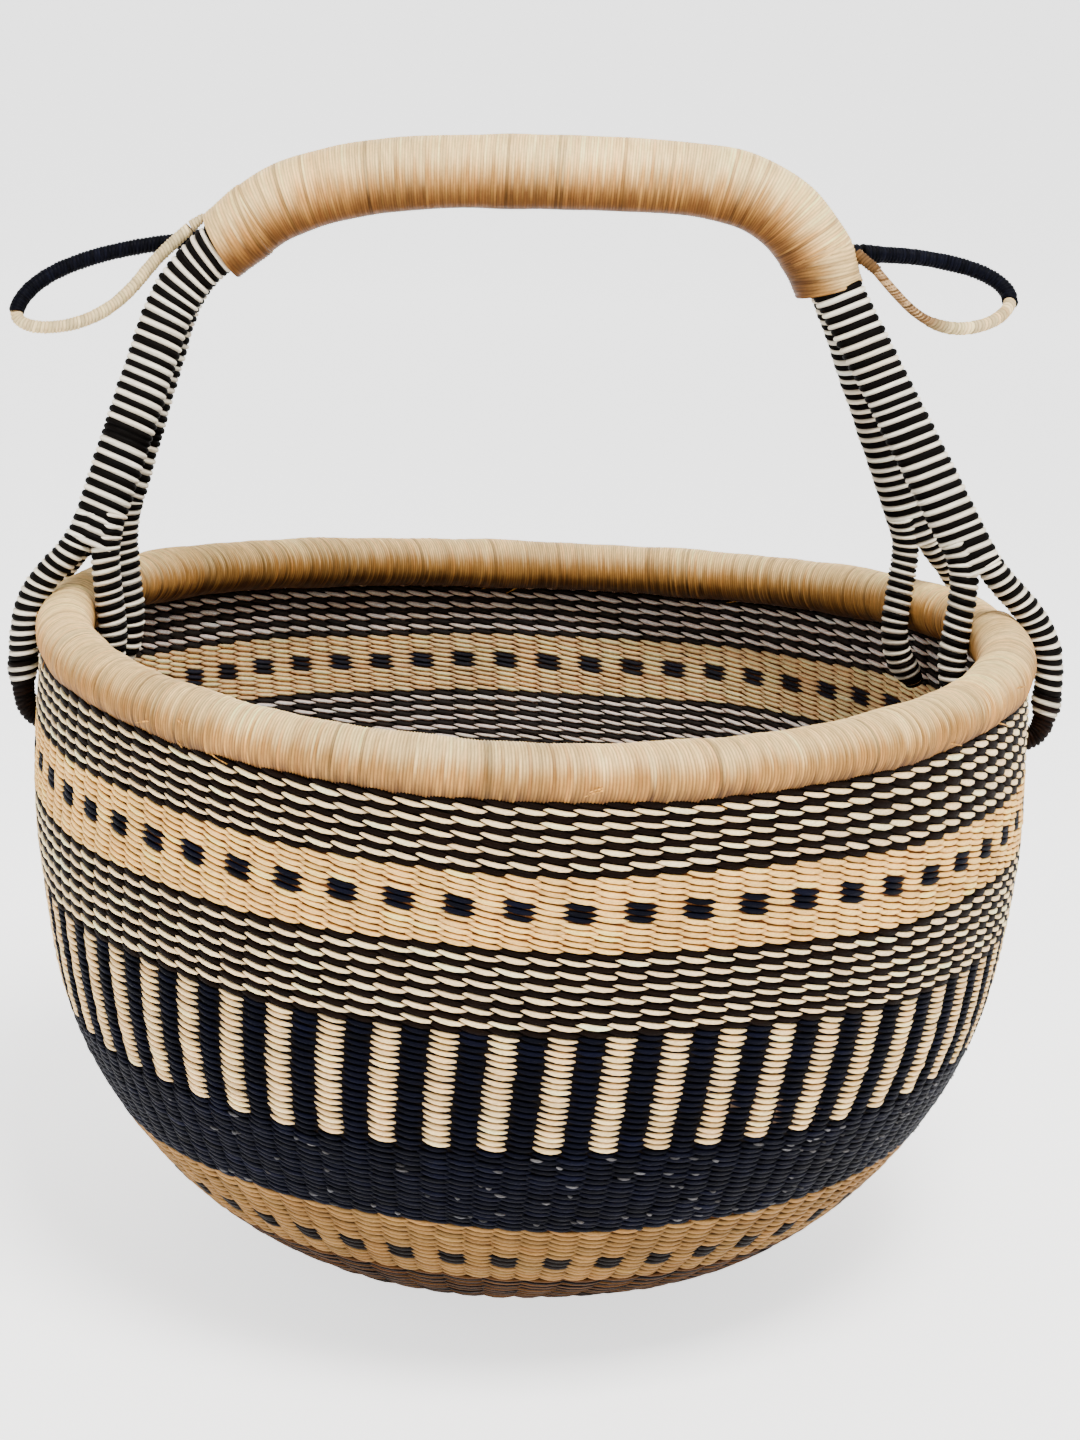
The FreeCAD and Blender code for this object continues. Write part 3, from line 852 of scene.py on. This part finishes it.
def row_stitches(shape, inside, band, row, length, pitch):
    """One row of stitches round the bowl, on one side of the wall."""
    stakes = np.arange(band.stakes)
    step = 2 * math.pi / band.stakes
    seen = stakes + 1 if inside else stakes
    names = [band.pattern(row, stake) for stake in seen]
    tones = np.array([TONES[name] for name in names])
    spread = np.array([NAVY_SPREAD if name == "navy" else TONE_SPREAD for name in names])
    tones = tones * np.exp(random.normal(0.0, 1.0, len(names)) * spread)[:, None]
    if inside:
        tones = tones * INSIDE_PAINTED_LIGHT_GAIN + INSIDE_PAINTED_LIGHT_LIFT
    else:
        tones = tones * np.interp(length, *LOW_ROWS_PAINTED_SHADE)
    tints = varied(tones, 0.03, 0.05)
    navy_span = 1.0 if band.weave is SOLID else NAVY_SPAN
    spans = np.array([navy_span if name == "navy" else 1.0 for name in names])
    widths = np.array([WIDTHS.get(name, 1.0) for name in names])
    angle = weave_angle(stakes * step, length, inside) + random.normal(0.0, 0.02, len(names)) * step
    half_span = spans * band.weave.span * random.uniform(0.96, 1.06, len(names)) * step / 2
    places = np.full(len(names), length) + random.normal(0.0, 0.09 * MM, len(names))
    lift = np.array([CREAM_LIFT if name == "cream" else 0.0 for name in names])[:, None, None]
    add_stitches(shape, inside, band.weave, places, angle, half_span, pitch, widths, tints, lift)


def add_flecks(shape, band, pitch):
    """Small pale broken fibres that show through the dyed straw."""
    count = band.flecks
    low, high = FLECK_ANGLES
    angle = np.radians(low + (high - low) * random.random(count) ** 0.6)
    length = random.uniform(band.start, band.end, count)
    half_span = random.uniform(0.10, 0.26, count) * STAKE_STEP
    tints = TONES["fleck"] * random.uniform(0.2, 1.0, (count, 1))
    widths = np.ones(count)
    add_stitches(shape, False, FLECK, length, angle, half_span, pitch, widths, tints, FLECK_LIFT)


def make_band(name, band):
    """One band's rows outside and inside the wall, and the ring between them."""
    pitch = (band.end - band.start) / band.rows
    for inside in (False, True):
        shape = Shape()
        if not inside:
            add_lining(shape, band.start, band.end, band.gap)
            if band.flecks:
                add_flecks(shape, band, pitch)
        for row in range(band.rows):
            row_stitches(shape, inside, band, row, band.start + (row + 0.5) * pitch, pitch)
        place = "inner" if inside else "outer"
        shape.build(f"{name}_{place}_rows", band.slot, "basket", name)


START_END = 0.057
START_ROWS = 22
START_HOLE = 0.0005
START_STAKES = [(0.016, 12), (0.034, 30), (START_END, 60)]  # how far out, how many stakes


def make_base_start():
    """Rows of the flat start, with fewer stakes towards the middle."""
    pitch = START_END / START_ROWS
    for inside in (False, True):
        shape = Shape()
        if not inside:
            add_lining(shape, START_HOLE, START_END, "shaded_gap_dark", 120)
        for row in range(START_ROWS):
            length = (row + 0.5) * pitch
            stakes = next(count for reach, count in START_STAKES if length < reach)
            band = Band("natural_straw", 0.0, START_END, START_ROWS, start_pattern, "shaded_gap_dark", PLAIN,
                        stakes)
            row_stitches(shape, inside, band, row, length, pitch)
        place = "inner" if inside else "outer"
        shape.build(f"base_start_{place}_rows", "natural_straw", "basket", "base_start")


for band_name, band in BANDS.items():
    make_band(band_name, band)
make_base_start()

# ---------------------------------------------------------------- rim

RIM_RADIUS = 190.0 * MM
RIM_TUBE_RADIUS = 11.5 * MM
RIM_CORE_RADIUS = 8.4 * MM
RIM_STRAND = 1.15 * MM
RIM_SECTION_STRANDS = 52
RIM_CREASE = 4.5  # degrees


def rim_line():
    angles = even_angles(720)
    height = RIM_HEIGHT + RIM_SADDLE * np.cos(2 * angles)
    points = np.stack([RIM_RADIUS * np.cos(angles), RIM_RADIUS * np.sin(angles), height], -1)
    return Line(points, (0.0, 0.0, 1.0), closed=True)


def wound_tone(top_angle, section_strands, seam=0.5, under="wound_under_tone_and_shade", pale=(0.0, 0.85)):
    """Straw wound in sections, pale on top and browner underneath, partly its own tone and partly painted
    shade, with the seam between sections darkened by painted shade. pale says how far up the side it
    starts to pale, and where it is palest."""
    def colour(strands, angles):
        count = len(strands)
        section = strands // section_strands
        shades = np.exp(random.normal(0.0, 0.08, section.max() + 1))[section]
        topness = np.cos(angles - top_angle)[None, :, None]
        # Partly painted shade: the tone turns paler towards the top and darker towards the underside.
        wander = random.normal(0.0, 0.12, (count, 1, 1))
        high = ease(topness + wander, *pale)
        low = ease(-topness + wander, 0.0, 0.85)
        middle = (1 - high) * (1 - low)
        tones = TONES["wound_side"] * middle + TONES["wound_top"] * high + TONES[under] * low
        value = np.exp(random.normal(0.0, 0.11, count)) * shades
        value[random.random(count) < 0.04] *= 0.62
        # Painted shade: the first strand of each section is darkened where the overlap makes a step.
        value[strands % section_strands == 0] *= seam
        warm = 1 + np.maximum(random.normal(0.0, 0.5, (count, 1)), 0) * (WARM - 1) * 0.6
        return tones * value[:, None, None] * warm[:, None, :]
    return colour


def rim_swell(share):
    """The winding starts and ends at a crease under the right front leg, thicker before it."""
    degrees = (share * 360.0 - RIM_CREASE + 180.0) % 360.0 - 180.0
    before = np.where(degrees < 0, 0.055 * ease(degrees, -28.0, -6.0), 0.0)
    after = np.where(degrees >= 0, -0.07 * (1 - ease(degrees, 2.0, 14.0)), 0.0)
    return 1.0 + before + after


def make_rim():
    line = rim_line()
    bundle = Shape()
    wound_tube(bundle, line, 0.0, line.length, (RIM_CORE_RADIUS,) * 2, 6 * MM, 0.2 * MM, 16, 0.0,
               plain_tone("tan"))
    bundle.build("rim_bundle", "core_straw", "basket", "rim_core")
    winding = Shape()
    wound_tube(winding, line, 0.0, line.length, (RIM_TUBE_RADIUS,) * 2, RIM_STRAND, 0.40 * MM, 30,
               2.2 * MM, wound_tone(math.pi / 2, RIM_SECTION_STRANDS, 0.66), FINE_PROFILE,
               wobble=0.35 * MM, groove_shade=0.50, scale=rim_swell)
    winding.build("rim_winding", "wound_straw", "basket", "rim_wrap")


make_rim()

# ---------------------------------------------------------------- handle

ROD_HALF_GAP = 4.4 * MM
ARCH_HALF_GAP = 6.3 * MM
GRIP_Y = 26.0 * MM
GRIP_RADIUS = 15.0 * MM
GRIP_LEFT_INSET = 23.0 * MM
GRIP_RIGHT_INSET = 2.0 * MM
COLLAR_LENGTH = 18.0 * MM
COLLAR_RADIUS = GRIP_RADIUS + 0.2 * MM
COLLAR_SHIFT = 2.5 * MM  # the right collar's end is drawn in towards the arch
COLLAR_LAP = 4.0 * MM  # the grip's winding runs on under each collar
GRIP_PALE = (-0.30, 0.60)  # the grip is pale further down its sides than the rim
ARCH_ROUTE = [
    (-0.1510, 0.1380),
    (-0.1260, 0.1610),
    (-0.1060, 0.1755),
    (-0.0645, 0.1860),
    (0.0000, 0.1885),
    (0.0600, 0.1880),
    (0.0841, 0.1825),
    (0.1035, 0.1685),
    (0.1174, 0.1443),
]
FORK_RADIUS = 181.0 * MM
FORK_HEIGHT = 34.0 * MM
LEG_ANGLES = {
    ("front", "left"): 183.0,
    ("front", "right"): 2.5,
    ("back", "left"): 171.0,
    ("back", "right"): 25.0,
}
STRAND_WRAP_RADIUS = 5.8 * MM + 0.2 * MM
# Strand routes are distances from the bowl's axis and heights over the rim's centre.
STRAND_ROUTES = {
    "outer": [(0.2035, 0.0170), (0.2088, -0.0030), (0.2080, -0.0260)],
    "inner": [(0.1735, 0.0130), (0.1713, -0.0040), (0.1745, -0.0180), (0.1840, -0.0290)],
}
WIDE_STRAND = ("front", "right", "outer")
WIDE_STRAND_ROUTE = [(0.2060, 0.0150), (0.2145, -0.0050), (0.2115, -0.0290)]
BINDING_LENGTH = 13.0 * MM
BINDING_LAP = 1.5 * MM  # the binding closes over the end of the core
BINDING_RADIUS = 6.4 * MM
TUCK_ROUTE = [(0.2045, -0.0370), (0.1960, -0.0400), (0.1895, -0.0385)]
TUCK_RADIUS = 4.9 * MM
LEG_SECTION = (10.3 * MM, 6.2 * MM)
LEG_DOUBLES = {"left": (0.67,), "right": ()}
COIL = 2.5 * MM
SIDEWAYS = (0.0, 1.0, 0.0)


def make_grip():
    """The grip's winding, and the collar at each of its ends."""
    points = [(x, GRIP_Y, RIM_HEIGHT + height) for x, height in ARCH_ROUTE]
    line = Line(smooth_line(points), SIDEWAYS)
    start = GRIP_LEFT_INSET
    end = line.length - GRIP_RIGHT_INSET
    grip = Shape()
    wound_tube(grip, line, start + COLLAR_LENGTH - COLLAR_LAP, end - COLLAR_LENGTH + COLLAR_LAP,
               (GRIP_RADIUS,) * 2, 1.1 * MM, 0.22 * MM, 36, 0.8 * MM,
               wound_tone(0.0, 60, 0.7, "grip_under_tone_and_shade", GRIP_PALE),
               FINE_PROFILE, wobble=0.25 * MM, groove_shade=0.40)
    grip.build("grip_winding", "wound_straw", "basket", "grip_wrap")
    ends = {
        "left": (start, start + COLLAR_LENGTH, lambda share: 0.95 + 0.05 * ease(share, 0.0, 0.9)),
        "right": (end - COLLAR_LENGTH, end, lambda share: 1.0 - 0.08 * ease(share, 0.1, 1.0)),
    }
    for side, (low, high, scale) in ends.items():
        collar = Shape()
        bend = (COLLAR_SHIFT if side == "right" else 0.0) * ease(line.stations, low, high)
        drawn_in = Line(line.points - line.out * bend[:, None], SIDEWAYS)
        wound_tube(collar, drawn_in, low, high, (COLLAR_RADIUS,) * 2, 1.4 * MM, 0.35 * MM, 36,
                   2.6 * MM, wound_tone(0.0, 9, 0.9, "grip_under_tone_and_shade", GRIP_PALE), FINE_PROFILE,
                   scale=scale, groove_shade=0.40)
        collar.build(f"{side}_collar_winding", "wound_straw", "basket", f"{side}_grip_collar")


def leg_outward(arch, side):
    angle = math.radians(LEG_ANGLES[(arch, side)])
    return np.array([math.cos(angle), math.sin(angle), 0.0])


def by_the_rim(outward, reach, height):
    """A point this far out from the bowl's axis and this high over the rim's centre."""
    return outward * reach + np.array([0.0, 0.0, RIM_HEIGHT + height])


def fork_point(arch, side):
    return by_the_rim(leg_outward(arch, side), FORK_RADIUS, FORK_HEIGHT)


def arch_points(arch, side):
    """The arch's points from inside the grip down to this side's knee."""
    y = GRIP_Y + (-ARCH_HALF_GAP if arch == "front" else ARCH_HALF_GAP)
    route = ARCH_ROUTE[:3][::-1] if side == "left" else ARCH_ROUTE[-3:]
    return [np.array([x, y, RIM_HEIGHT + height]) for x, height in route]


DARK_WIDTH = 1.12
CREAM_WIDTH = 0.88


class Stripes:
    """Cream and black strands in turn, with a doubled black at these shares of the length."""

    def __init__(self, start, doubles=()):
        self.start = start
        self.doubles = doubles

    def dark(self, strands):
        dark = (strands + self.start) % 2 == 0
        for place in self.doubles:
            dark[2 * round(place * len(strands) / 2) + 1] = True
        return dark

    def share(self, strands):
        return np.where(self.dark(strands), DARK_WIDTH, CREAM_WIDTH)

    def colour(self, strands, angles):
        dark = self.dark(strands)[:, None]
        tints = varied(np.where(dark, TONES["stripe_dark"], TONES["stripe_cream"]), 0.10, 0.03)
        return np.repeat(tints[:, None], len(angles), axis=1)


def binding_tone(strands, angles):
    """The stripes run on a little before the dark end."""
    pale = (strands % 2 == 1) & (strands < 4)
    tones = varied(np.where(pale[:, None], TONES["stripe_cream"] * 0.75, TONES["dark"]), 0.25, 0.03)
    return np.repeat(tones[:, None], len(angles), axis=1)


def make_leg(arch, side):
    """One leg's striped winding from the grip's end to its fork."""
    above, upper, knee = arch_points(arch, side)
    fork = fork_point(arch, side)
    line = Line(smooth_line([above, upper, knee, knee * 0.66 + fork * 0.34, fork]), SIDEWAYS)
    ahead = np.linalg.norm(above - upper) + (np.linalg.norm(upper - knee) if side == "right" else 0)
    start = ahead + (-0.8 * MM if side == "left" else -3.0 * MM)
    shape = Shape()
    stripes = Stripes(0, LEG_DOUBLES[side])
    wound_tube(shape, line, start, line.length, LEG_SECTION, COIL, 1.0 * MM, 28, 1.1 * MM,
               stripes.colour, squareness=2.3, wobble=0.12 * MM, share=stripes.share, groove_shade=0.65)
    shape.build(f"{arch}_{side}_leg_winding", "striped_straw", "basket", f"{arch}_{side}_leg_wrap")


def add_tuck(binding, end, drop, outward, tangent):
    """Past its binding an outer strand turns in and is sewn to the wall."""
    points = [end - drop * 2 * MM, end + drop * 3 * MM]
    points += [by_the_rim(outward, reach, height) for reach, height in TUCK_ROUTE]
    line = Line(smooth_line(points), tangent)
    wound_tube(binding, line, 0.0, line.length, (TUCK_RADIUS,) * 2, 1.8 * MM, 0.7 * MM, 18,
               0.8 * MM, plain_tone("dark", 0.3, 0.02), scale=lambda share: 1.0 - 0.3 * share,
               groove_shade=0.6)


def make_strand(arch, side, place):
    """One strand over the rim, and its dark bound end at the wall."""
    outward = leg_outward(arch, side)
    fork = fork_point(arch, side)
    knee = arch_points(arch, side)[-1]
    along = (fork - knee) / np.linalg.norm(fork - knee)
    offset = outward * (ROD_HALF_GAP if place == "outer" else -ROD_HALF_GAP)
    route = WIDE_STRAND_ROUTE if (arch, side, place) == WIDE_STRAND else STRAND_ROUTES[place]
    points = [fork + offset - along * 14 * MM, fork + offset - along * 2 * MM]
    points += [by_the_rim(outward, reach, height) for reach, height in route]
    tangent = np.array([-outward[1], outward[0], 0.0])
    points = smooth_line(points)
    drop = (points[-1] - points[-2]) / np.linalg.norm(points[-1] - points[-2])
    line = Line(np.vstack([points, points[-1] + drop * BINDING_LAP]), tangent)
    bound_from = line.length - BINDING_LENGTH - BINDING_LAP
    name = f"{arch}_{side}_{place}"
    strand = Shape()
    stripes = Stripes(1)
    wound_tube(strand, line, 0.0, bound_from, (STRAND_WRAP_RADIUS,) * 2, 2.15 * MM, 0.95 * MM, 20,
               0.9 * MM, stripes.colour, share=stripes.share, groove_shade=0.65)
    strand.build(f"{name}_strand_winding", "striped_straw", "basket", f"{name}_strand_wrap")
    binding = Shape()
    wound_tube(binding, line, bound_from, line.length, (BINDING_RADIUS,) * 2, 2.0 * MM, 0.8 * MM, 20,
               1.0 * MM, binding_tone, groove_shade=0.65,
               scale=lambda share: 1.0 - 0.34 * ease(share, 0.25, 1.0))
    if place == "outer":
        add_tuck(binding, points[-1], drop, outward, tangent)
    binding.build(f"{name}_bound_end", "dark_straw", "basket", f"{name}_binding")


make_grip()
for arch, side in LEG_ANGLES:
    make_leg(arch, side)
    for place in ("outer", "inner"):
        make_strand(arch, side, place)

# ---------------------------------------------------------------- loose straw

FRAY_COUNT = 30
FRAY_RADIUS = 0.42 * MM
FRAY_ROLLS = (-1.5, 0.4)  # round the rim's tube, from its underside to just over its outside
FRAY_LENGTHS = (4.0, 9.0)
FRAY_LIFTS = (1.2, 3.4)


def make_frays():
    """Loose straw ends that stick out of the rim's winding."""
    shape = Shape()
    up = np.array([0.0, 0.0, 1.0])
    for _ in range(FRAY_COUNT):
        angle = random.uniform(0.0, 2 * math.pi)
        roll = random.uniform(*FRAY_ROLLS)
        radial = np.array([math.cos(angle), math.sin(angle), 0.0])
        along = np.array([-math.sin(angle), math.cos(angle), 0.0]) * random.choice([-1.0, 1.0])
        out = radial * math.cos(roll) + up * math.sin(roll)
        centre = radial * RIM_RADIUS + up * (RIM_HEIGHT + RIM_SADDLE * math.cos(2 * angle))
        base = centre + out * (RIM_TUBE_RADIUS - 0.8 * MM)
        reach = random.uniform(*FRAY_LENGTHS) * MM
        tip = base + along * reach + out * random.uniform(*FRAY_LIFTS) * MM - up * 0.15 * reach
        line = Line(smooth_line([base, base + along * reach * 0.4 + out * 1.6 * MM, tip]), up)
        wound_tube(shape, line, 0.0, line.length, (FRAY_RADIUS,) * 2, 1.5 * MM, 0.05 * MM, 6, 0.0,
                   plain_tone("wound_side", 0.25), scale=lambda share: 1 - 0.6 * share)
    shape.build("loose_straw_ends", "natural_straw", "basket")


make_frays()

# ---------------------------------------------------------------- CAD pieces that stay

# The stakes get the dark straw that is painted shade between the stitches.
KEPT_NODES = {"stakes": "stake_straw_painted_shade", "grip_padding": "core_straw"}
for arch in ("front", "back"):
    for place in ("outer", "inner"):
        KEPT_NODES[f"{arch}_{place}_rod"] = "core_straw"
for node, straw in KEPT_NODES.items():
    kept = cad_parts[node]
    kept.data.materials.clear()
    kept.data.materials.append(MATERIALS[straw])
